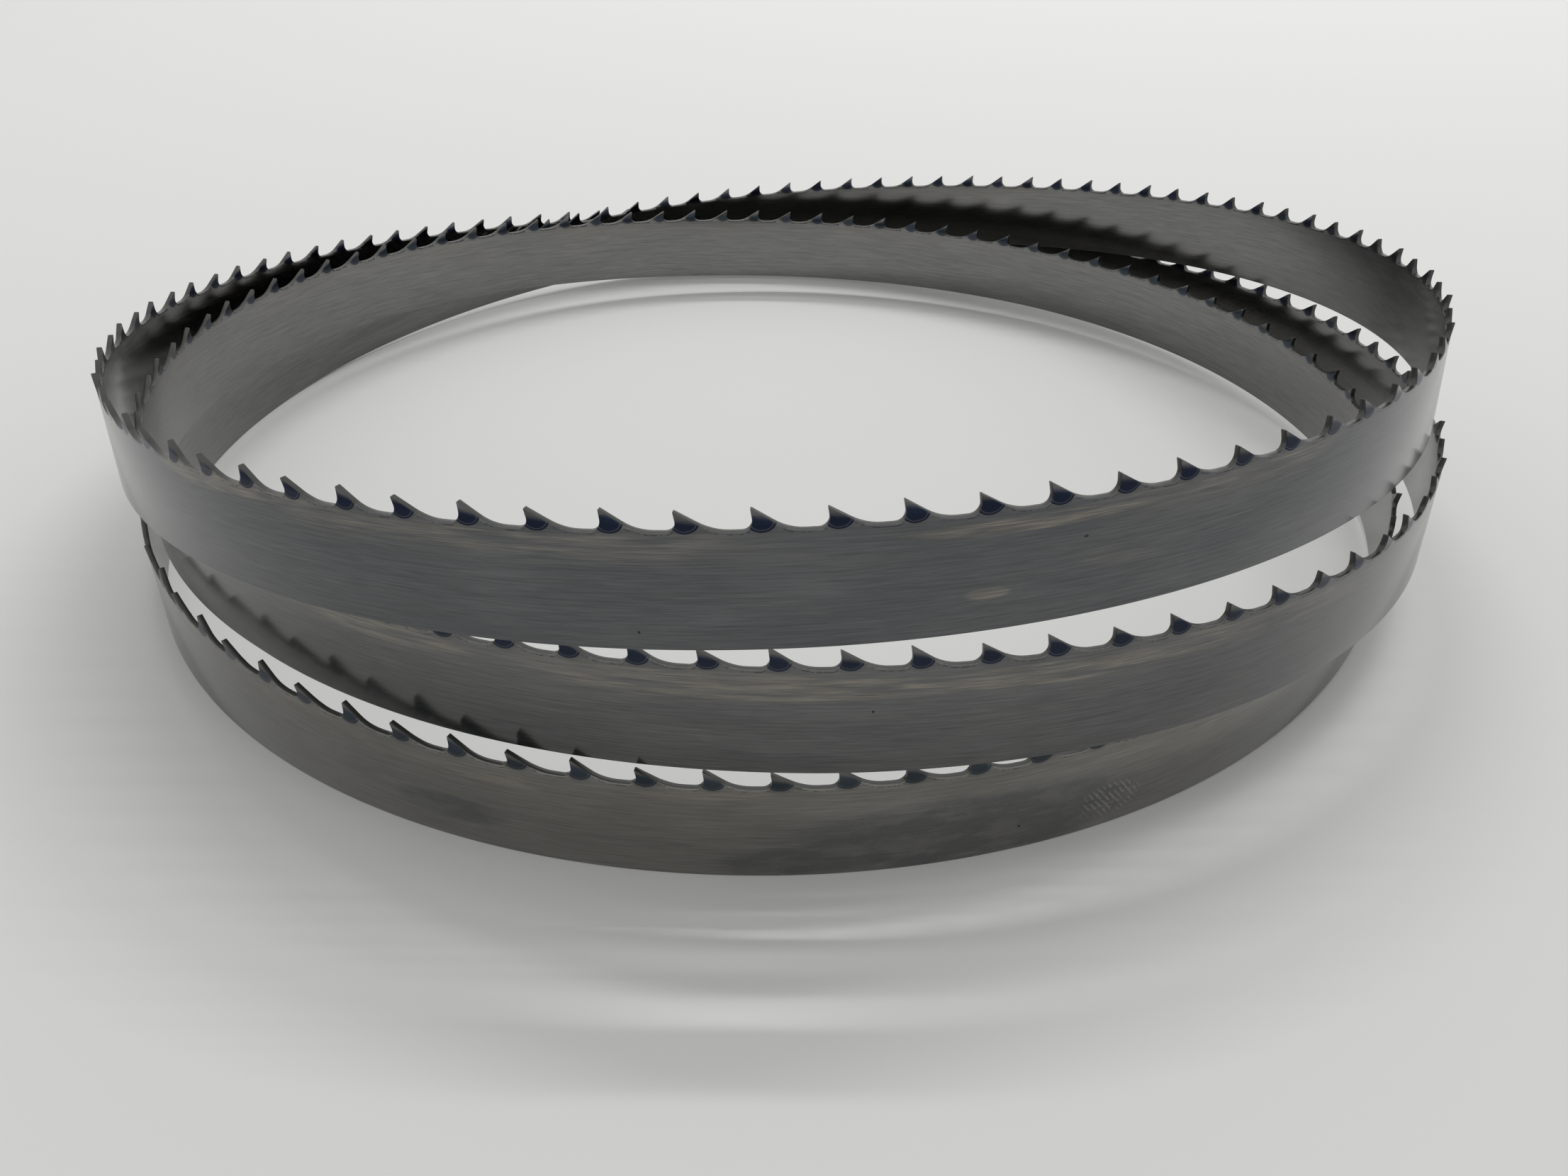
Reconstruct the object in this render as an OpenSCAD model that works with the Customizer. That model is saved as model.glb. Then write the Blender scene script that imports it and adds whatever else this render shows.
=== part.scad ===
// Band saw blade: one endless toothed steel band, coiled into three loops
// that stand on their back edge. Millimetres, Z up, the front faces -Y.

/* [Band] */
// Distance from one tooth tip to the next, four teeth to the inch
tooth_pitch = 6.35; // [6:0.05:6.7]
// Number of teeth, even because the set goes left and right in turn
tooth_count = 258; // [246:2:270]
// Width over the teeth, from the back edge to the tips
blade_width = 13; // [11:0.25:15]
// Thickness of the steel
blade_thickness = 0.65; // [0.45:0.05:0.8]

/* [Teeth] */
// Depth of the gullet below the tips
gullet_depth = 1.95; // [1.75:0.05:2.2]
// Slope of the tooth's back, in degrees below the line of the tips
back_angle = 32; // [29:1:35]
// Lean of the cutting face, in degrees past upright
hook_angle = 7; // [0:1:10]
// Radius of the gullet's corner at the foot of the cutting face
face_radius = 0.9; // [0.7:0.05:1.1]
// Radius of the long sweep from the tooth's back to the gullet's floor
back_radius = 5; // [4:0.25:5.5]
// Sideways bend of each tip, to one side and the other in turn
set_width = 0.2; // [0.1:0.05:0.35]
// Depth below the tips at which the bend starts
bend_depth = 1.7; // [1.4:0.1:1.9]

/* [Coil] */
// Clear height between two loops where one crosses over the other
crossing_gap = 0.4; // [0.3:0.1:1]
// Distance that one unit of the loops' drift in and out stands for
drift_width = 1; // [0.9:0.05:1.1]
// Length along the band from the front of the coil to the first tooth tip
front_length = 0.93; // [0:0.01:3]

/* [Hidden] */

loops = 3;
BEARINGS = 8;          // front, front left, left, back left, back, back right, right, front right
stations = loops * BEARINGS;
coil_turn = 360 * loops;
level = blade_width + crossing_gap;
band_length = tooth_pitch * tooth_count;

// How far each loop's middle line stands out from the mean radius, at the
// eight bearings. The top loop runs on into the middle one, that into the
// bottom one, and the bottom loop climbs back to the start of the top one.
reach = drift_width * [
    -1,   -2.7, -1.5, -1,    8.5,  2.9, 3.9, 4.8,
    -2.2, -4.8, -4.1, -5.2, -6.6, -6.8, 2.5, 0.1,
    -1.7, -1.8, -3.1, -2.6,  6.9,  1.4, 2.3, 0.6];
// How high each loop's back edge stands above the table there, in levels
rise = level * [
    2.18, 1.75, 1.12, 0.46, -0.133, 0.15, 0.55, 0.88,
    1.06, 0.86, 0.77, 0.46,  0.18,   0.24, 0.14, 0,
    0,    0,    0,    0.01,  0.24,   0.96, 1.67, 2.12];

// Cubic B-spline through a closed list, so the band bends without a kink
function spline(v, angle) =
    let (u = angle / 360 * BEARINGS + stations, i = floor(u), f = u - i, n = len(v))
    ((1 - f) ^ 3 * v[(i - 1) % n] + (3 * f ^ 3 - 6 * f ^ 2 + 4) * v[i % n]
     + (1 + 3 * f + 3 * f ^ 2 - 3 * f ^ 3) * v[(i + 1) % n] + f ^ 3 * v[(i + 2) % n]) / 6;

// Middle line of the band, clockwise seen from above, starting at the front
function middle(angle, radius) =
    let (r = radius + spline(reach, angle))
    [-r * sin(angle), -r * cos(angle), spline(rise, angle) + blade_width / 2];

// Length run along the middle line, paired with the angle reached
TRACE_STEP = 1;
function trace(radius) = [
    for (a = 0, s = 0; a <= coil_turn;
         s = s + norm(middle(a + TRACE_STEP, radius) - middle(a, radius)), a = a + TRACE_STEP)
        [s, a]];
function trace_length(radius) = let (t = trace(radius)) t[len(t) - 1][0];

// The mean radius that uses up the whole band, and the run along it
plain_radius = band_length / (loops * 2 * PI);
mean_radius = plain_radius + (band_length - trace_length(plain_radius)) / (loops * 2 * PI);
run = trace(mean_radius);
run_length = run[len(run) - 1][0];
pitch_run = run_length / tooth_count;

// A point of the band: s along it, w up from its back edge, t outward.
// The band is steel that bends only one way, so its width follows the
// binormal of the middle line.
FRAME_STEP = 1.5;
function unit(v) = v / norm(v);
function on_band(s, w, t) =
    let (a = lookup((s + run_length) % run_length, run),
         here = middle(a, mean_radius),
         ahead = middle(a + FRAME_STEP, mean_radius),
         behind = middle(a - FRAME_STEP, mean_radius),
         along = unit(ahead - behind),
         up = unit(cross(ahead + behind - 2 * here, along)),
         out = cross(up, along))
    here + up * (w - blade_width / 2) + out * t;

// One pitch of the toothed edge as [distance past the tip, depth below it]:
// face foot, gullet corner, floor, long sweep, up to the next tooth's back.
corner_x = tooth_pitch - back_radius * sin(back_angle)
    - (gullet_depth - back_radius * (1 - cos(back_angle))) / tan(back_angle);
corner_centre = -(gullet_depth - face_radius) * tan(hook_angle) + face_radius / cos(hook_angle);
tooth_edge = concat(
    [for (a = [-hook_angle, 40, 90])
        [corner_centre - face_radius * cos(a), gullet_depth - face_radius * (1 - sin(a))]],
    [for (a = [0, 1 / 3, 2 / 3, 1] * back_angle)
        [corner_x + back_radius * sin(a), gullet_depth - back_radius * (1 - cos(a))]]);

// Corners of one pitch on one side: two on the back edge, the toothed edge,
// and the tip. Corners nearer the next tooth bend with that tooth.
function bend(k, x, depth) =
    let (tooth = x > tooth_pitch / 2 ? k + 1 : k)
    (tooth % 2 == 0 ? 1 : -1) * set_width * max(0, 1 - depth / bend_depth);
cell = concat(
    [[0, blade_width], [tooth_pitch / 2, blade_width]], tooth_edge, [[0, 0]]);
CELL = len(cell);
TIP = CELL - 1;
FOOT = 2;
FLOOR = 5;
BACK = CELL - 2;

function corners(k, side) = [
    for (c = cell)
        on_band(front_length + k * pitch_run + c[0], blade_width - c[1],
                side * blade_thickness / 2 + bend(k, c[0], c[1]))];
function corner(k, side, j) = ((k % tooth_count) * 2 + side) * CELL + j;

// The flat side of one pitch, as triangles; side 0 is inner and 1 outer
function flat_side(k, side) =
    let (low = corner(k, side, 0), half = corner(k, side, 1), next = corner(k + 1, side, 0),
         tris = concat(
             [for (j = [FOOT:FLOOR - 1]) [low, corner(k, side, j), corner(k, side, j + 1)]],
             [[low, corner(k, side, FLOOR), half]],
             [for (j = [FLOOR:BACK - 1]) [half, corner(k, side, j), corner(k, side, j + 1)]],
             [[half, corner(k, side, BACK), next],
              [next, corner(k, side, BACK), corner(k + 1, side, FOOT)],
              [corner(k + 1, side, FOOT), corner(k, side, BACK), corner(k + 1, side, TIP)]]))
    [for (t = tris) side == 0 ? t : [t[0], t[2], t[1]]];

// The narrow edges of one pitch: each pair of corners joined across the steel
function narrow_edge(a, b) = [
    [a[0], a[1], b[1]], [a[0], b[1], b[0]]];
function edges(k) =
    let (top = concat([for (j = [FOOT:BACK]) [k, j]], [[k + 1, TIP], [k + 1, FOOT]]),
         back = [[k + 1, 0], [k, 1], [k, 0]],
         pair = function (p) [corner(p[0], 0, p[1]), corner(p[0], 1, p[1])])
    concat(
        [for (i = [0:len(top) - 2]) each narrow_edge(pair(top[i]), pair(top[i + 1]))],
        [for (i = [0:len(back) - 2]) each narrow_edge(pair(back[i]), pair(back[i + 1]))]);

TEETH = [0:tooth_count - 1];
coil_points = [for (k = TEETH) each concat(corners(k, -1), corners(k, 1))];
coil_faces = [for (k = TEETH) each concat(flat_side(k, 0), flat_side(k, 1), edges(k))];

// The origin is under the middle of the box around the coil
function span(i) = [for (p = coil_points) p[i]];
function centre_of(i) = (min(span(i)) + max(span(i))) / 2;
origin = [centre_of(0), centre_of(1), min(span(2))];

module blade() {
    color([0.27, 0.28, 0.30])
        translate(-origin)
            polyhedron(coil_points, coil_faces, convexity = 10);
}

blade();
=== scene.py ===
# %% [markdown]
# A band saw blade: one endless toothed steel band, coiled into three loops
# that stand on their back edge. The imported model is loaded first, as the
# frame that every size and place is held to.

# %% Load the frame
import math

import bmesh
import bpy
from mathutils import Euler, Matrix, Vector


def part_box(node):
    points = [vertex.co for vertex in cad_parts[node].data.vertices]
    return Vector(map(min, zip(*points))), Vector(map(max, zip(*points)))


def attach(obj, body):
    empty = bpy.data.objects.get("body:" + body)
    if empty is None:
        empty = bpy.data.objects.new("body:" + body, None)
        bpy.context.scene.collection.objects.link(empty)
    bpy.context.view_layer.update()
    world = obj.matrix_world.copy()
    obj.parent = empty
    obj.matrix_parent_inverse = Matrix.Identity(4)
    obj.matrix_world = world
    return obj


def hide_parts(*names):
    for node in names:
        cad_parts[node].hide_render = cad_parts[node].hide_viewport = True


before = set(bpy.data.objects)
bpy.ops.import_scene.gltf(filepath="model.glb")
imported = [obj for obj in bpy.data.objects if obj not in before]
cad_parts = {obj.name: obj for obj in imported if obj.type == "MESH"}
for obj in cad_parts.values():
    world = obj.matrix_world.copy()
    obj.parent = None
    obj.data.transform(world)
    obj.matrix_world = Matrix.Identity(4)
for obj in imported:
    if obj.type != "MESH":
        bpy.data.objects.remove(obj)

MM = 0.001
cad_low, cad_high = [Vector(c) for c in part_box("blade")]
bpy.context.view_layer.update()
print("frame box, mm:", [round(v / MM, 1) for v in (cad_high - cad_low)])

# %% [markdown]
# The camera comes first, so that every later choice is judged in the view
# that it is made for. The photo was taken from close by, about a hand's
# breadth in front of the coil and a little above it, with a wide lens. That
# is why the front teeth look more than twice as large as those at the back.

# %% Camera
PHOTO_WIDTH_PX = 2212
LENS_PX = 1824
SENSOR_WIDTH = 36       # mm
CAMERA_AT = Vector((-16.85, -180.44, 92.17)) * MM
LOOK_DOWN = math.radians(32.68)
LOOK_RIGHT = math.radians(5.85)
ROLL = math.radians(0.4)

camera_data = bpy.data.cameras.new("camera")
camera_data.sensor_width = SENSOR_WIDTH
camera_data.lens = LENS_PX / PHOTO_WIDTH_PX * SENSOR_WIDTH
camera_data.clip_start = 0.005
camera_data.clip_end = 60
camera = bpy.data.objects.new("camera", camera_data)
camera.location = CAMERA_AT
aim = Euler((math.pi / 2 - LOOK_DOWN, 0, -LOOK_RIGHT)).to_matrix()
camera.rotation_euler = (aim @ Matrix.Rotation(ROLL, 3, "Z")).to_euler()
bpy.context.scene.collection.objects.link(camera)
bpy.context.scene.camera = camera
print("lens, mm:", round(camera_data.lens, 1))

# %% [markdown]
# The band's sizes are those of the solid. Four teeth to the inch, 13 mm over
# the teeth and 258 teeth make a stock loop for a small saw.

# %% Sizes of the band
TOOTH_PITCH = 6.35 * MM
TOOTH_COUNT = 258
BLADE_WIDTH = 13 * MM
BLADE_THICKNESS = 0.65 * MM
GULLET_DEPTH = 1.95 * MM
BACK_ANGLE = math.radians(32)
HOOK_ANGLE = math.radians(7)
FACE_RADIUS = 0.9 * MM
BACK_RADIUS = 5 * MM
SET_WIDTH = 0.2 * MM
BEND_DEPTH = 1.7 * MM
FRONT_LENGTH = 0.93 * MM     # run from the coil's front to the first tooth tip
CROSSING_GAP = 0.4 * MM      # clear height where one loop crosses over another
LEVEL = BLADE_WIDTH + CROSSING_GAP
BAND_LENGTH = TOOTH_PITCH * TOOTH_COUNT
print("band length, mm:", round(BAND_LENGTH / MM, 1))

# %% [markdown]
# How the band lies: eight bearings for each of the three loops, starting at
# the front and going clockwise seen from above. A cubic spline runs through
# them, so the steel bends without a kink.

# %% Route of the coil
LOOPS = 3
BEARINGS = 8
REACH = [v * MM for v in (
    -1, -2.7, -1.5, -1, 8.5, 2.9, 3.9, 4.8,
    -2.2, -4.8, -4.1, -5.2, -6.6, -6.8, 2.5, 0.1,
    -1.7, -1.8, -3.1, -2.6, 6.9, 1.4, 2.3, 0.6)]
RISE = [v * LEVEL for v in (
    2.18, 1.75, 1.12, 0.46, -0.133, 0.15, 0.55, 0.88,
    1.06, 0.86, 0.77, 0.46, 0.18, 0.24, 0.14, 0,
    0, 0, 0, 0.01, 0.24, 0.96, 1.67, 2.12)]


def spline(stations, turns):
    """Cubic B-spline through a closed list of stations."""
    u = turns * BEARINGS
    i = math.floor(u)
    f = u - i
    n = len(stations)
    return ((1 - f) ** 3 * stations[(i - 1) % n]
            + (3 * f ** 3 - 6 * f ** 2 + 4) * stations[i % n]
            + (1 + 3 * f + 3 * f ** 2 - 3 * f ** 3) * stations[(i + 1) % n]
            + f ** 3 * stations[(i + 2) % n]) / 6


def middle(turns, radius):
    """Middle line of the band, as a point for a number of turns."""
    r = radius + spline(REACH, turns)
    angle = math.tau * turns
    return Vector((-r * math.sin(angle), -r * math.cos(angle),
                   spline(RISE, turns) + BLADE_WIDTH / 2))


STEPS_A_TURN = 360
TRACE_STEPS = STEPS_A_TURN * LOOPS


def trace(radius):
    """Length run along the middle line at each step."""
    run = [0.0]
    for step in range(TRACE_STEPS):
        here, ahead = (middle(s / STEPS_A_TURN, radius) for s in (step, step + 1))
        run.append(run[-1] + (ahead - here).length)
    return run


plain_radius = BAND_LENGTH / (LOOPS * math.tau)
mean_radius = plain_radius + (BAND_LENGTH - trace(plain_radius)[-1]) / (LOOPS * math.tau)
run = trace(mean_radius)
print("mean radius, mm:", round(mean_radius / MM, 2))

# %% [markdown]
# Thin steel bends one way only, like paper: its width always lies along the
# direction that is square to both the run and the bend. So each place on the
# route gets three directions: along, up across the width, and outward.

# %% Directions along the route
FRAME_STEP = 1.5 / 360       # turns ahead and behind, to find the run and the bend


def turns_at(s):
    """Turns made when the length s has been run."""
    s = (s / BAND_LENGTH % 1) * run[-1]
    low, high = 0, TRACE_STEPS
    while high - low > 1:
        half = (low + high) // 2
        low, high = (half, high) if run[half] <= s else (low, half)
    return (low + (s - run[low]) / (run[high] - run[low])) / STEPS_A_TURN


def directions(s):
    """A point of the middle line with its up and outward directions."""
    turns = turns_at(s)
    here = middle(turns, mean_radius)
    ahead = middle(turns + FRAME_STEP, mean_radius)
    behind = middle(turns - FRAME_STEP, mean_radius)
    along = (ahead - behind).normalized()
    up = (ahead + behind - 2 * here).cross(along).normalized()
    return here, up, up.cross(along)


here, up, out = directions(0)
print("up at the front:", [round(v, 3) for v in up])

# %% [markdown]
# One pitch of the blade is drawn flat, like the strip before it is coiled:
# a back edge, the gullet's floor, the long sweep up the tooth's back, the
# tip, the hooked cutting face and the round corner at its foot. The outline
# has its corners and arcs only; cuts made later add the lines it bends on.

# %% Outline of one pitch
SWEEP_STEPS = 6
CORNER_STEPS = 6
CUT_AT = 1.35 * MM           # the pitch is cut at the gullet's floor
TIP_WEAR = 0.09 * MM         # how much of each tip's point has worn off
TIP_DROP = 1.2 * TIP_WEAR    # how far down the cutting face it has

sweep_x = (TOOTH_PITCH - BACK_RADIUS * math.sin(BACK_ANGLE)
           - (GULLET_DEPTH - BACK_RADIUS * (1 - math.cos(BACK_ANGLE))) / math.tan(BACK_ANGLE))
corner_x = (FACE_RADIUS / math.cos(HOOK_ANGLE)
            - (GULLET_DEPTH - FACE_RADIUS) * math.tan(HOOK_ANGLE))
floor_y = BLADE_WIDTH - GULLET_DEPTH


def pitch_outline():
    """Corners of one pitch, counterclockwise from its lower left.

    The cuts at both ends are upright, so that the pitches weld edge to edge.
    """
    points = [(CUT_AT, 0), (CUT_AT, floor_y)]
    for i in range(SWEEP_STEPS + 1):
        a = BACK_ANGLE * i / SWEEP_STEPS
        points.append((sweep_x + BACK_RADIUS * math.sin(a),
                       floor_y + BACK_RADIUS * (1 - math.cos(a))))
    points.append((TOOTH_PITCH - TIP_WEAR, BLADE_WIDTH - TIP_WEAR * math.tan(BACK_ANGLE)))
    points.append((TOOTH_PITCH - TIP_WEAR * math.tan(HOOK_ANGLE), BLADE_WIDTH - TIP_DROP))
    for i in range(CORNER_STEPS + 1):
        a = -HOOK_ANGLE + (math.pi / 2 + HOOK_ANGLE) * i / CORNER_STEPS
        points.append((TOOTH_PITCH + corner_x - FACE_RADIUS * math.cos(a),
                       floor_y + FACE_RADIUS * (1 - math.sin(a))))
    points += [(TOOTH_PITCH + CUT_AT, floor_y), (TOOTH_PITCH + CUT_AT, 0)]
    return points


print("outline points:", len(pitch_outline()))

# %% [markdown]
# The outline becomes one face, and bisect_plane scores it: upright lines,
# on which the strip bends round the coil, and level lines through the
# tooth, on which the tip bends aside when the teeth are set.

# %% One flat pitch
RULINGS = 12
ON_THE_LINE = 0.004 * MM     # points as near as this count as on the cut
TOOTH_LINES = [floor_y - 0.3 * MM, BLADE_WIDTH - BEND_DEPTH, BLADE_WIDTH - 0.8 * BEND_DEPTH]


def score(bm, at, across):
    """Cuts the faces along a plane and keeps what lies on both sides of it."""
    bmesh.ops.bisect_plane(bm, geom=bm.verts[:] + bm.edges[:] + bm.faces[:],
                           dist=ON_THE_LINE, plane_co=at, plane_no=across)


blank = bmesh.new()
outline = [blank.verts.new((x, y, 0)) for x, y in pitch_outline()]
blank.faces.new(outline)
bmesh.ops.recalc_face_normals(blank, faces=blank.faces[:])
for i in range(1, RULINGS):
    score(blank, (CUT_AT + TOOTH_PITCH * i / RULINGS, 0, 0), (1, 0, 0))
for y in TOOTH_LINES:
    score(blank, (0, y, 0), (0, 1, 0))
print("faces in one pitch:", len(blank.faces))

# %% [markdown]
# The blank is repeated to the full length, welded, and given its thickness.
# The thickness leaves a cap at each end; both go, because the ends are
# joined in the closed band. Every sharp edge gets a fine round, which is
# what catches the light along the back edge and the gullets.

# %% The flat strip
EDGE_ROUND = 0.08 * MM
FLAT_WELD = 0.002 * MM
AT_THE_END = 0.01 * MM
SHARP_ANGLE = math.radians(60)
ON_ONE_SIDE = 0.1 * BLADE_THICKNESS     # edges that don't run through the steel

pitch_geometry = blank.verts[:] + blank.edges[:] + blank.faces[:]
for i in range(1, TOOTH_COUNT):
    copy = bmesh.ops.duplicate(blank, geom=pitch_geometry)
    bmesh.ops.translate(blank, vec=(TOOTH_PITCH * i, 0, 0),
                        verts=[g for g in copy["geom"] if isinstance(g, bmesh.types.BMVert)])
bmesh.ops.remove_doubles(blank, verts=blank.verts[:], dist=FLAT_WELD)
print("verts in the welded strip:", len(blank.verts))

made = bmesh.ops.extrude_face_region(blank, geom=blank.faces[:], use_keep_orig=True)
bmesh.ops.translate(blank, vec=(0, 0, BLADE_THICKNESS),
                    verts=[g for g in made["geom"] if isinstance(g, bmesh.types.BMVert)])
bmesh.ops.recalc_face_normals(blank, faces=blank.faces[:])
bmesh.ops.translate(blank, vec=(0, 0, -BLADE_THICKNESS / 2), verts=blank.verts[:])
strip_start, strip_end = CUT_AT, CUT_AT + BAND_LENGTH


def at_end(face):
    """Whether a face is the cap at one of the strip's two ends."""
    return any(all(abs(v.co.x - x) < AT_THE_END for v in face.verts)
               for x in (strip_start, strip_end))


bmesh.ops.delete(blank, geom=[f for f in blank.faces if at_end(f)], context="FACES_ONLY")
bmesh.ops.delete(blank, geom=[e for e in blank.edges if not e.link_faces], context="EDGES")
sharp = [e for e in blank.edges if len(e.link_faces) == 2
         and e.calc_face_angle(0) > SHARP_ANGLE
         and abs(e.verts[0].co.z - e.verts[1].co.z) < ON_ONE_SIDE]
bmesh.ops.bevel(blank, geom=sharp, offset=EDGE_ROUND, segments=2, affect="EDGES",
                profile=0.5, material=-1, clamp_overlap=False)
print("faces in the strip:", len(blank.faces), "edges rounded:", len(sharp))

# %% [markdown]
# Each point keeps where it was on the flat strip as a UV: its run along the
# band and its height across it, in metres. The finish is drawn with these,
# so the grain follows the steel round the coil. The inner side counts on
# from the band's end, so that it has marks of its own. A second value says
# which faces are the strip's narrow cut edges, which are duller.

# %% Remember the flat strip
FLAT_SIDE = 0.95        # how squarely a face of the flat sides looks out or in
INNER_SIDE = -0.9

blank.normal_update()
uv_layer = blank.loops.layers.uv.new("flat")
edge_layer = blank.faces.layers.float.new("cut_edge")
for face in blank.faces:
    face[edge_layer] = 1 - abs(face.normal.z) if abs(face.normal.z) < FLAT_SIDE else 0.0
    run_on = BAND_LENGTH if face.normal.z < INNER_SIDE else 0.0
    for loop in face.loops:
        loop[uv_layer].uv = (loop.vert.co.x + run_on, loop.vert.co.y)
print("cut edge faces:", sum(face[edge_layer] > 0 for face in blank.faces))

# %% [markdown]
# Setting the teeth bends each one aside, left and right in turn. Then the
# strip is wound: a point's run picks the place on the route, and its height
# and depth are laid off along the directions there.

# %% Set the teeth and wind the coil
SEAM_RUN = 45 * TOOTH_PITCH     # the strip's ends meet at the hidden back
COIL_WELD = 0.004 * MM


def tooth_bend(x, y):
    """How far the set bends a point of the flat strip aside."""
    tooth = round(x / TOOTH_PITCH)
    depth = BLADE_WIDTH - y
    side = 1 if tooth % 2 == 0 else -1
    return side * SET_WIDTH * max(0, 1 - depth / BEND_DEPTH)


places = {}
for vert in blank.verts:
    x, y, t = vert.co
    s = x + SEAM_RUN + FRONT_LENGTH
    key = round(s / MM, 4)
    if key not in places:
        places[key] = directions(s)
    here, up, out = places[key]
    vert.co = (here + up * (y - BLADE_WIDTH / 2)
               + out * (t + tooth_bend(x + SEAM_RUN, y)))
bmesh.ops.remove_doubles(blank, verts=blank.verts[:], dist=COIL_WELD)
bmesh.ops.recalc_face_normals(blank, faces=blank.faces[:])
low = Vector([min(v.co[i] for v in blank.verts) for i in range(3)])
high = Vector([max(v.co[i] for v in blank.verts) for i in range(3)])
print("coil box, mm:", [round(v / MM, 1) for v in (high - low)])
print("open edges:", sum(len(e.link_faces) != 2 for e in blank.edges))

# %% [markdown]
# The coil is moved so that its box sits where the solid's box is: the
# origin is on the table, under the middle of the coil.

# %% The blade as an object
SMOOTH_BELOW = math.radians(28)

bmesh.ops.translate(blank, verts=blank.verts[:], vec=Vector((
    (cad_low.x + cad_high.x - low.x - high.x) / 2,
    (cad_low.y + cad_high.y - low.y - high.y) / 2,
    cad_low.z - low.z)))
mesh = bpy.data.meshes.new("toothed_band")
blank.to_mesh(mesh)
blank.free()
mesh.shade_smooth()
mesh.set_sharp_from_angle(angle=SMOOTH_BELOW)
band = bpy.data.objects.new("toothed_band", mesh)
bpy.context.scene.collection.objects.link(band)
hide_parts("blade")
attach(band, "root")
print("triangles:", sum(len(p.vertices) - 2 for p in mesh.polygons))

# %% [markdown]
# Shader maths reads best as plain sums. This class wraps one socket, so that
# an expression on values adds the Math nodes for it, and one method makes
# any other node.

# %% Helpers for materials


class Value:
    """A socket of a node tree that can be used in an expression."""

    def __init__(self, tree, socket):
        self.tree, self.socket = tree, socket

    def math(self, operation, *others):
        node = self.tree.nodes.new("ShaderNodeMath")
        node.operation = operation
        for slot, value in enumerate((self,) + others):
            feed(self.tree, node.inputs[slot], value)
        return Value(self.tree, node.outputs[0])

    def __add__(self, other): return self.math("ADD", other)
    def __radd__(self, other): return self.math("ADD", other)
    def __sub__(self, other): return self.math("SUBTRACT", other)
    def __rsub__(self, other): return (self * -1) + other
    def __mul__(self, other): return self.math("MULTIPLY", other)
    def __rmul__(self, other): return self.math("MULTIPLY", other)
    def __truediv__(self, other): return self.math("DIVIDE", other)
    def __pow__(self, other): return self.math("POWER", other)


def feed(tree, socket, value):
    """Links a value to a socket, or sets the socket to a plain number."""
    if isinstance(value, Value):
        tree.links.new(value.socket, socket)
    else:
        socket.default_value = value


class Maker:
    """Makes the nodes of one material or world."""

    MIX_FACTOR, MIX_A, MIX_B, MIX_RESULT = 0, 6, 7, 2    # sockets for colours

    def __init__(self, tree):
        self.tree = tree
        tree.nodes.clear()

    def node(self, kind, settings=None, out=0, **sockets):
        """Makes any node: its settings, the output wanted and what goes in."""
        made = self.tree.nodes.new("ShaderNode" + kind)
        for name, value in (settings or {}).items():
            setattr(made, name, value)
        for name, value in sockets.items():
            feed(self.tree, made.inputs[name.replace("_", " ")], value)
        return Value(self.tree, made.outputs[out])

    def step(self, value, low, high, rise=1.0, base=0.0):
        """Goes smoothly from base to base + rise as value goes low to high."""
        return self.node("MapRange", {"interpolation_type": "SMOOTHSTEP"}, Value=value,
                         From_Min=low, From_Max=high, To_Min=base, To_Max=base + rise)

    def mix(self, factor, a, b, blend="MIX"):
        """Mixes two colours."""
        made = self.tree.nodes.new("ShaderNodeMix")
        made.data_type = "RGBA"
        made.blend_type = blend
        for slot, value in ((self.MIX_FACTOR, factor), (self.MIX_A, a), (self.MIX_B, b)):
            feed(self.tree, made.inputs[slot], value)
        return Value(self.tree, made.outputs[self.MIX_RESULT])

    def end(self, shader, kind="OutputMaterial"):
        """Links the finished shader to the material's or the world's output."""
        out = self.tree.nodes.new("ShaderNode" + kind)
        self.tree.links.new(shader.socket, out.inputs["Surface"])


print("helpers ready")

# %% [markdown]
# The finish is drawn in the flat strip's own measures. Two of them come
# straight from the UV: the run along the band and the depth below the tips.
# The third is the place within one tooth, which repeats at every pitch, and
# with it a random number of that tooth's own.

# %% Where on the strip a point lies
steel = bpy.data.materials.new("blade_steel")
steel.use_nodes = True
m = Maker(steel.node_tree)

flat = m.node("UVMap", {"uv_map": "flat"})
along = m.node("SeparateXYZ", Vector=flat)
depth = BLADE_WIDTH - m.node("SeparateXYZ", out=1, Vector=flat)
pitches = along / TOOTH_PITCH
tooth_number = (pitches + 0.5).math("FLOOR")
behind_tip = (tooth_number - pitches) * TOOTH_PITCH
past_tip = pitches.math("FRACT") * TOOTH_PITCH
luck = m.node("TexWhiteNoise", {"noise_dimensions": "1D"}, W=tooth_number)
print("strip measures ready")

# %% [markdown]
# The height of the toothed edge over any point is worked out from the same
# radii that drew the outline. It tells how far below the cut edge a point
# lies, which is where the pale line of burr and painted edge highlight is drawn.

# %% How far below the cut edge
sweep_run = BACK_RADIUS * math.sin(BACK_ANGLE)
on_sweep = (past_tip - sweep_x).math("MAXIMUM", 0).math("MINIMUM", sweep_run)
on_back = (past_tip - (sweep_x + sweep_run)).math("MAXIMUM", 0)
on_corner = (corner_x - past_tip).math("MAXIMUM", 0).math("MINIMUM", FACE_RADIUS)


def arc_drop(run, radius):
    """How far a round corner has turned away after this run along it."""
    return radius - (radius ** 2 - run * run).math("MAXIMUM", 0).math("SQRT")


edge_depth = (GULLET_DEPTH - arc_drop(on_sweep, BACK_RADIUS)
              - on_back * math.tan(BACK_ANGLE) - arc_drop(on_corner, FACE_RADIUS))
below_edge = depth - edge_depth
print("edge depth ready")
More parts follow.
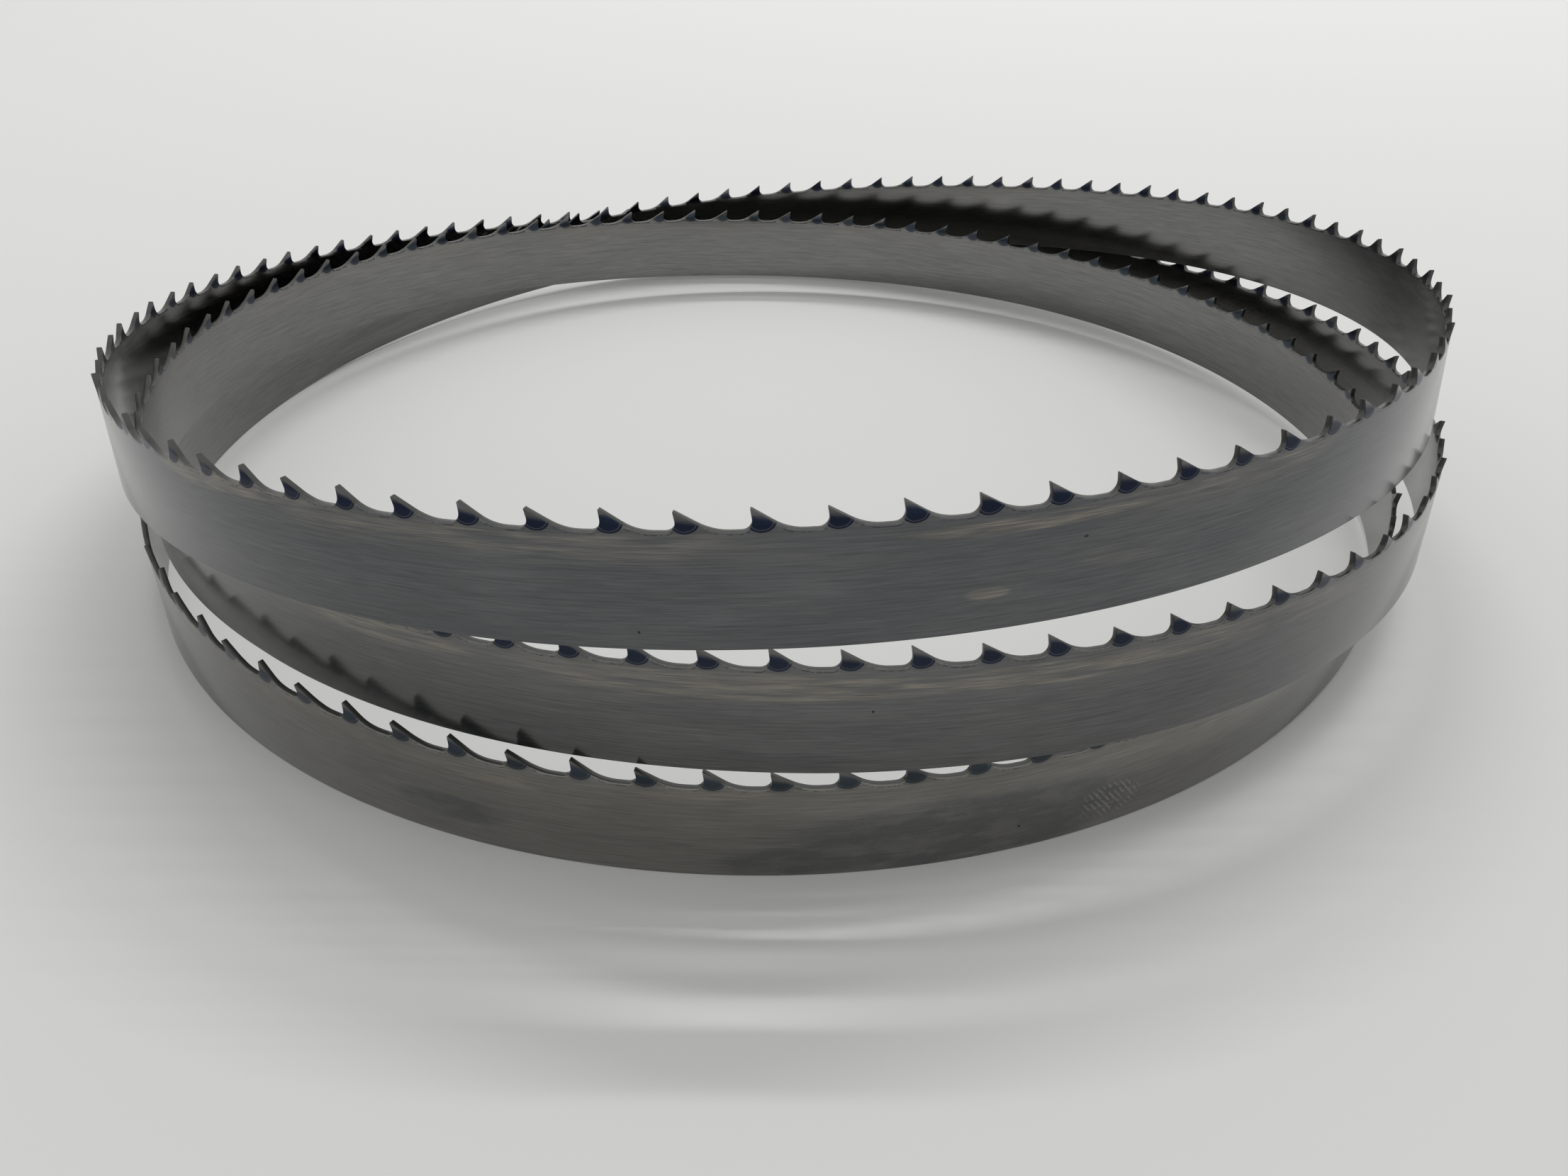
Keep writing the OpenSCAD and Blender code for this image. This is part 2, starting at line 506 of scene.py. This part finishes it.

# %% [markdown]
# Spring steel is rolled, so its grain is long fine streaks. Noise drawn out
# along the band makes them at four sizes. The steel's tint drifts slowly
# from the blue grey of the top loop to a warmer grey below it. The warmer
# grey is also lighter, which is partly painted light: it brightens the lower
# loops, which mirror the shadowed table.

# %% Rolled grain
def grain(run_mm, width_mm, detail=2.0, seed=0.0):
    """Noise drawn out along the band: marks this long and this wide."""
    where = m.node("CombineXYZ", X=along / (run_mm * MM), Y=depth / (width_mm * MM), Z=seed)
    return m.node("TexNoise", Vector=where, Scale=1.0, Detail=detail, Roughness=0.6)


COOL_STEEL = (0.106, 0.109, 0.114, 1)
WARM_STEEL = (0.224, 0.220, 0.205, 1)
INNER_STEEL = (0.192, 0.192, 0.190, 1)
BROWN_STEEL = (0.175, 0.158, 0.134, 1)
WARMEST_AT = 0.6 * BAND_LENGTH      # run from the first tooth, on the bottom loop
round_band = (along + SEAM_RUN - WARMEST_AT) * (math.tau / BAND_LENGTH)
bottom_loop_weight = (0.5 + 0.5 * round_band.math("COSINE")) ** 2
inner_side = along.math("GREATER_THAN", strip_end)

hairs = grain(3.2, 0.075, 2, 1.3)
lines = m.step(grain(7, 0.15, 1, 9.3), 0.36, 0.64)
streaks = grain(9, 0.25, 3, 4.1)
clouds = grain(14, 5, 2, 7.7)
# Partly painted light: the warm end is lighter, to brighten the lower loops that mirror the
# shadowed table
colour = m.mix(bottom_loop_weight + (clouds - 0.5) * 0.25, COOL_STEEL, WARM_STEEL)
colour = m.mix(inner_side, colour, INNER_STEEL)
browned = (m.step(grain(12, 0.5, 3, 51.0), 0.50, 0.75) * (0.12 + bottom_loop_weight * 0.16)
           * (1 - inner_side * 0.7))
colour = m.mix(browned, colour, BROWN_STEEL)
shade = (1 + (hairs - 0.5) * 0.80 + (lines - 0.5) * 0.15 + (streaks - 0.5) * 0.22
         + (clouds - 0.5) * 0.24)
print("tint runs over, mm:", round(BAND_LENGTH / MM))

# %% [markdown]
# Chips and guides have rubbed a brown film onto the steel, mostly just below
# the gullets and only on some stretches. Those that show at the front are
# placed one by one; noise lays out the others. Small dark pits and a few
# pale scratches are spread over the rest, the bottom loop has a few dull
# stretches, and in one place the guides have left a row of chatter marks.

# %% Rubbed film, pits and scratches
RUBBED_FILM = (0.270, 0.247, 0.205, 1)
DULL_FILM = (0.108, 0.112, 0.120, 1)
PIT = (0.030, 0.030, 0.032, 1)
GUIDE_MARK = (0.43, 0.41, 0.36, 1)

stretch = m.step(grain(34, 14, 2, 11.9), 0.46, 0.60)
under_gullets = m.step(depth, 1.9 * MM, 2.5 * MM) * m.step(depth, 5.6 * MM, 3.2 * MM)
anywhere = m.step(grain(30, 9, 2, 17.3), 0.62, 0.72) * 0.35
film = stretch * under_gullets * 0.7 + anywhere


def patch(run_mm, length_mm, depth_mm, height_mm):
    """A soft oval patch on the outer side: its middle, length and height."""
    off_run = (along - run_mm * MM) / (length_mm / 2 * MM)
    off_depth = (depth - depth_mm * MM) / (height_mm / 2 * MM)
    return m.step(off_run * off_run + off_depth * off_depth, 1.1, 0.35)


def lay(layer, places):
    """Adds placed patches to a layer; where they overlap the strongest shows."""
    for place in places:
        layer = layer.math("MAXIMUM", patch(*place))
    return layer


# Each row: run, length, depth below the tips and height, in millimetres
RUBBED = [(1334, 26, 3.3, 1.7), (1339, 4.6, 9.4, 1.3), (1412, 30, 2.4, 2.6),
          (281, 48, 3.9, 3.2), (252, 34, 3.8, 2.8), (318, 26, 3.1, 2.6),
          (833, 20, 3.6, 2.0), (812, 18, 3.0, 2.0)]
fine_lines = m.step(grain(5, 0.10, 2, 21.1), 0.38, 0.60)
worn_through = m.step(grain(8, 0.6, 2, 23.1), 0.30, 0.62)
film = lay(film, RUBBED) * (0.25 + 0.75 * fine_lines) * worn_through

DULL = [(839, 14, 9.0, 3.5), (786, 44, 9.2, 10.5), (804, 18, 11.2, 4.6),
        (1386, 12, 12.0, 1.4)]
blotches = m.step(grain(5, 1.8, 3, 61.0), 0.36, 0.58, 0.6, 0.4)
dull = lay(patch(*DULL[0]), DULL[1:]) * blotches


def specks(cell_mm, stretch_by, size_mm, seed):
    """Scattered specks, one to a square of this size, and each a different size."""
    where = m.node("CombineXYZ", X=along / (cell_mm * stretch_by * MM),
                   Y=depth / (cell_mm * MM), Z=seed)
    reach = m.node("TexVoronoi", out="Distance", Vector=where, Scale=1.0)
    return m.step(reach, size_mm / cell_mm, 0.45 * size_mm / cell_mm)


DARK_PITS = [(1330, 0.5, 5.4, 0.24), (1369, 0.3, 11.3, 0.3),
             (270, 0.3, 6.4, 0.3), (781.5, 0.4, 10, 0.32)]
pits = lay(specks(9, 1.5, 0.13, 3.2), DARK_PITS)
scratches = specks(14, 0.4, 0.11, 8.6)

CHATTER = (771, 8, 9.6, 5.0)
CHATTER_PITCH = 0.7 * MM
CHATTER_SLANT = 0.8
slanted = (along + depth * CHATTER_SLANT) * (math.tau / CHATTER_PITCH)
chatter = (patch(*CHATTER) * m.step((slanted + streaks * 5).math("SINE"), 0.0, 0.8)
           * m.step(grain(1.1, 0.8, 2, 71.0), 0.36, 0.56))
print("rubbed stretches:", len(RUBBED), "dull ones:", len(DULL))

# %% [markdown]
# A blue-black crescent is painted at the foot of each tooth. It is partly the
# tint left where the tips were hardened again with a short heat, and partly a
# painted dark reflection: where the set bends the tooth aside, its face mirrors
# the dark room. It ends in a round edge just below the gullets and fades upward
# into the bare grey tip, at a different height on every tooth. A paler line
# inside it and a faint ring round it are painted with it.

# %% Dark crescents: heat tint and painted reflection
COOL_CRESCENT = (0.010, 0.015, 0.034, 1)
WARM_CRESCENT = (0.038, 0.050, 0.062, 1)
BARE_TIP = (0.094, 0.096, 0.094, 1)
CRESCENT_AT = (0.90 * MM, 1.08 * MM)
CRESCENT_SIZE = (1.26 * MM, 1.02 * MM)

ragged = (grain(0.7, 0.5, 2, 31.7) - 0.5) * 0.16
across_crescent = (behind_tip - CRESCENT_AT[0]) / CRESCENT_SIZE[0]
down_crescent = (depth - CRESCENT_AT[1]) / CRESCENT_SIZE[1]
from_crescent = across_crescent * across_crescent + down_crescent * down_crescent + ragged
tip_line = 0.25 * MM + luck * (0.55 * MM) + behind_tip * 0.15
# The crescent's mask: partly heat tint, partly a painted dark reflection of the bent tooth
dark_crescent = m.step(from_crescent, 1.08, 0.92) * m.step(depth - tip_line, -0.32 * MM, 0.40 * MM)
halo = m.step(from_crescent, 2.2, 0.9)
glow_line = m.step(((from_crescent - 0.66) * 9).math("ABSOLUTE"), 1, 0) * dark_crescent
bare = m.step(depth, 1.75 * MM, 1.3 * MM)
print("crescent, mm:", [round(v / MM, 2) for v in CRESCENT_SIZE])

# %% [markdown]
# The narrow cut edges are dull where they were sheared and ground. A broken
# pale line runs along the gullets' lower side: partly the burr that grinding
# left there, partly a painted highlight where the edge catches the light.

# %% Cut edges, and burr with painted edge highlight
CUT_EDGE = (0.078, 0.078, 0.075, 1)
BURR_AND_HIGHLIGHT = (0.24, 0.23, 0.205, 1)

cut_edge = m.node("Attribute", {"attribute_name": "cut_edge"}, out="Fac")
torn = grain(0.5, 0.4, 2, 41.3)
# Pale line below the gullets: partly burr, partly a painted edge highlight
burr_and_highlight = (m.step(below_edge, 0.17 * MM, 0.08 * MM) * m.step(torn, 0.44, 0.60)
        * m.step(depth, 1.0 * MM, 1.5 * MM))
nicks = (m.step(((below_edge - 0.26 * MM) / (0.08 * MM)).math("ABSOLUTE"), 1, 0)
         * m.step(torn, 0.52, 0.44) * m.step(depth, 1.5 * MM, 1.8 * MM))
print("burr ready")

# %% [markdown]
# The layers are laid over each other in the order in which the blade got
# them, with the painted crescents and the painted edge highlight among them.
# Steel this smooth is a blurred mirror: it takes the pale table into its dark
# grey, and only the pale burr line and the cut edges scatter the light. A
# trace of oil, on all but the crescents, makes it shine more where it is
# seen aslant, round the sides.

# %% Blade steel
HALO = (0.085, 0.086, 0.085, 1)
OIL_FILM = 0.16
OIL_ROUGHNESS = 0.12
ROLLED_ROUGHNESS = 0.19
RELIEF_STRENGTH = 0.10
RELIEF_HEIGHT = 0.04 * MM

steel_colour = m.mix(bare * 0.6, colour, BARE_TIP)
steel_colour = m.mix(film * 0.74, steel_colour, RUBBED_FILM)
shade_grey = m.node("CombineXYZ", X=shade, Y=shade, Z=shade)
steel_colour = m.mix(1.0, steel_colour, shade_grey, "MULTIPLY")
crescent = m.mix(bottom_loop_weight, COOL_CRESCENT, WARM_CRESCENT)
# Painted light among these layers: the crescents are partly a painted dark reflection
for amount, layer in ((halo * 0.35, HALO),
                      (dark_crescent * 0.94, crescent),
                      (glow_line * 0.25, WARM_STEEL),
                      (dull * 0.66, DULL_FILM),
                      (scratches * 0.45, RUBBED_FILM),
                      (chatter * 0.6, GUIDE_MARK),
                      ((pits + nicks * 0.8).math("MINIMUM", 1), PIT),
                      (burr_and_highlight * (0.18 + bottom_loop_weight.math("MINIMUM", 0.4)), BURR_AND_HIGHLIGHT),
                      (cut_edge, CUT_EDGE)):
    steel_colour = m.mix(amount, steel_colour, layer)

roughness = (ROLLED_ROUGHNESS + (hairs - 0.5) * 0.10 + (clouds - 0.5) * 0.08
             + (film + dull) * 0.12 + dark_crescent * 0.06
             + (burr_and_highlight + cut_edge).math("MINIMUM", 1) * 0.20)
relief = hairs * 0.5 + streaks * 0.35 - pits * 0.8 - nicks * 0.6 + burr_and_highlight * 0.5
bump = m.node("Bump", Strength=RELIEF_STRENGTH, Distance=RELIEF_HEIGHT, Height=relief)
m.end(m.node("BsdfPrincipled", Base_Color=steel_colour, Metallic=1.0, Roughness=roughness,
             Coat_Weight=(1 - dark_crescent) * OIL_FILM, Coat_Roughness=OIL_ROUGHNESS, Normal=bump))
mesh.materials.append(steel)
print("nodes in the steel:", len(steel.node_tree.nodes))

# %% [markdown]
# The table is pale, smooth and plain. It takes the coil's soft shadow and
# shows in the steel, and it fills the whole view.

# %% Table
TABLE_SIZE = 40.0
TABLE_TONE = (0.80, 0.80, 0.785, 1)
TABLE_ROUGHNESS = 0.6

table_bm = bmesh.new()
bmesh.ops.create_grid(table_bm, x_segments=1, y_segments=1, size=TABLE_SIZE / 2)
table_mesh = bpy.data.meshes.new("table_top")
table_bm.to_mesh(table_mesh)
table_bm.free()
table = bpy.data.objects.new("table_top", table_mesh)
bpy.context.scene.collection.objects.link(table)

laminate = bpy.data.materials.new("pale_laminate")
laminate.use_nodes = True
m = Maker(laminate.node_tree)
m.end(m.node("BsdfPrincipled", Base_Color=TABLE_TONE, Roughness=TABLE_ROUGHNESS))
table_mesh.materials.append(laminate)
print("table, m:", TABLE_SIZE)

# %% [markdown]
# The room is an even pale grey, and three long narrow ceiling lights hang
# behind the blade, one beyond the other, all square to the way the camera
# looks. They throw the coil's shadow toward it, with a thin bright line in
# the shadow for each light that shines through between two loops.

# %% Room and ceiling lights
ROOM = (0.49, 0.49, 0.49, 1)
ROOM_SEEN = (0.92, 0.92, 0.91, 1)
CEILING = 1.2
TUBE_LENGTH, TUBE_WIDTH = 1.2, 0.04
# How many metres behind the coil's middle each tube hangs, and its watts
TUBES = {"near_tube": (0.19, 0.9), "middle_tube": (0.41, 1.7), "far_tube": (0.66, 6.4)}
TUBES_RIGHT = 0.22

world = bpy.data.worlds.new("room")
bpy.context.scene.world = world
world.use_nodes = True
m = Maker(world.node_tree)
seen = m.node("LightPath", out="Is Camera Ray")
for ray in ("Is Glossy Ray", "Is Transmission Ray"):
    seen = seen.math("MAXIMUM", m.node("LightPath", out=ray))
m.end(m.node("Background", Color=m.mix(seen, ROOM, ROOM_SEEN), Strength=1.0), "OutputWorld")

square_to_view = Matrix.Rotation(-LOOK_RIGHT, 3, "Z")
for name, (back, power) in TUBES.items():
    data = bpy.data.lights.new(name, "AREA")
    data.shape = "RECTANGLE"
    data.size, data.size_y = TUBE_LENGTH, TUBE_WIDTH
    data.energy = power
    tube = bpy.data.objects.new(name, data)
    tube.location = square_to_view @ Vector((TUBES_RIGHT, back, CEILING))
    tube.rotation_euler = square_to_view.to_euler()
    tube.visible_glossy = False
    bpy.context.scene.collection.objects.link(tube)
bpy.context.scene.view_settings.view_transform = "Standard"
print("lamps:", list(TUBES))
